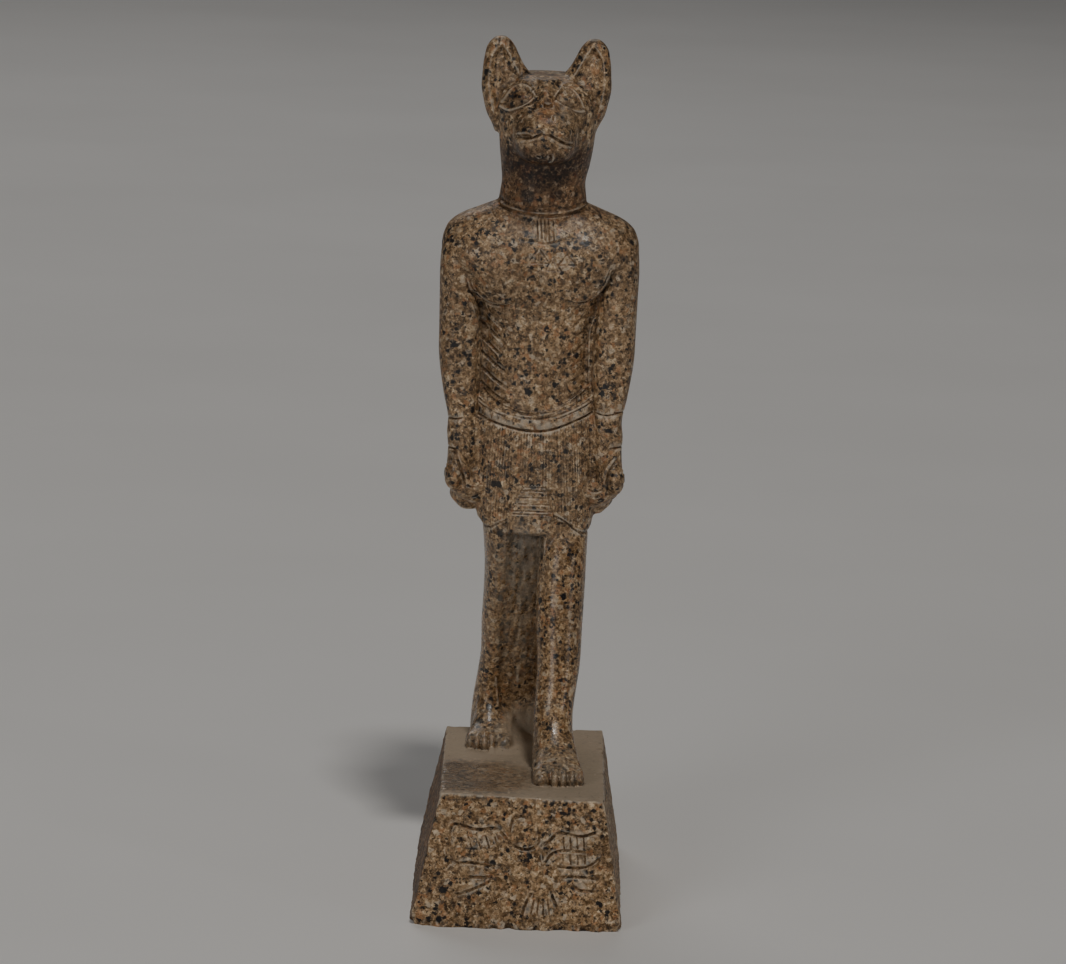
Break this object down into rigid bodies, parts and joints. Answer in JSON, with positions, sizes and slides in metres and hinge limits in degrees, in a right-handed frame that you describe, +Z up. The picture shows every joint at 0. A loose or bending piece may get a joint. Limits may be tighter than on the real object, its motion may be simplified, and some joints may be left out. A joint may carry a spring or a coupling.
{
  "type": "bastet statue",
  "caption": "Striding cat-headed figure in a pleated kilt on a tapered plinth, carved from one block of speckled granite.",
  "frame": {"origin": "middle of the plinth's underside", "axes": "+Z up, the figure faces -Y, its own left side is at +X"},
  "size_m": [0.0996, 0.1634, 0.4044],
  "materials": {
    "granite": "speckled, semi-polished on the figure and rough on the plinth"
  },
  "bodies": {
    "root": {"bastet_statue": "granite"}
  },
  "joints": []
}
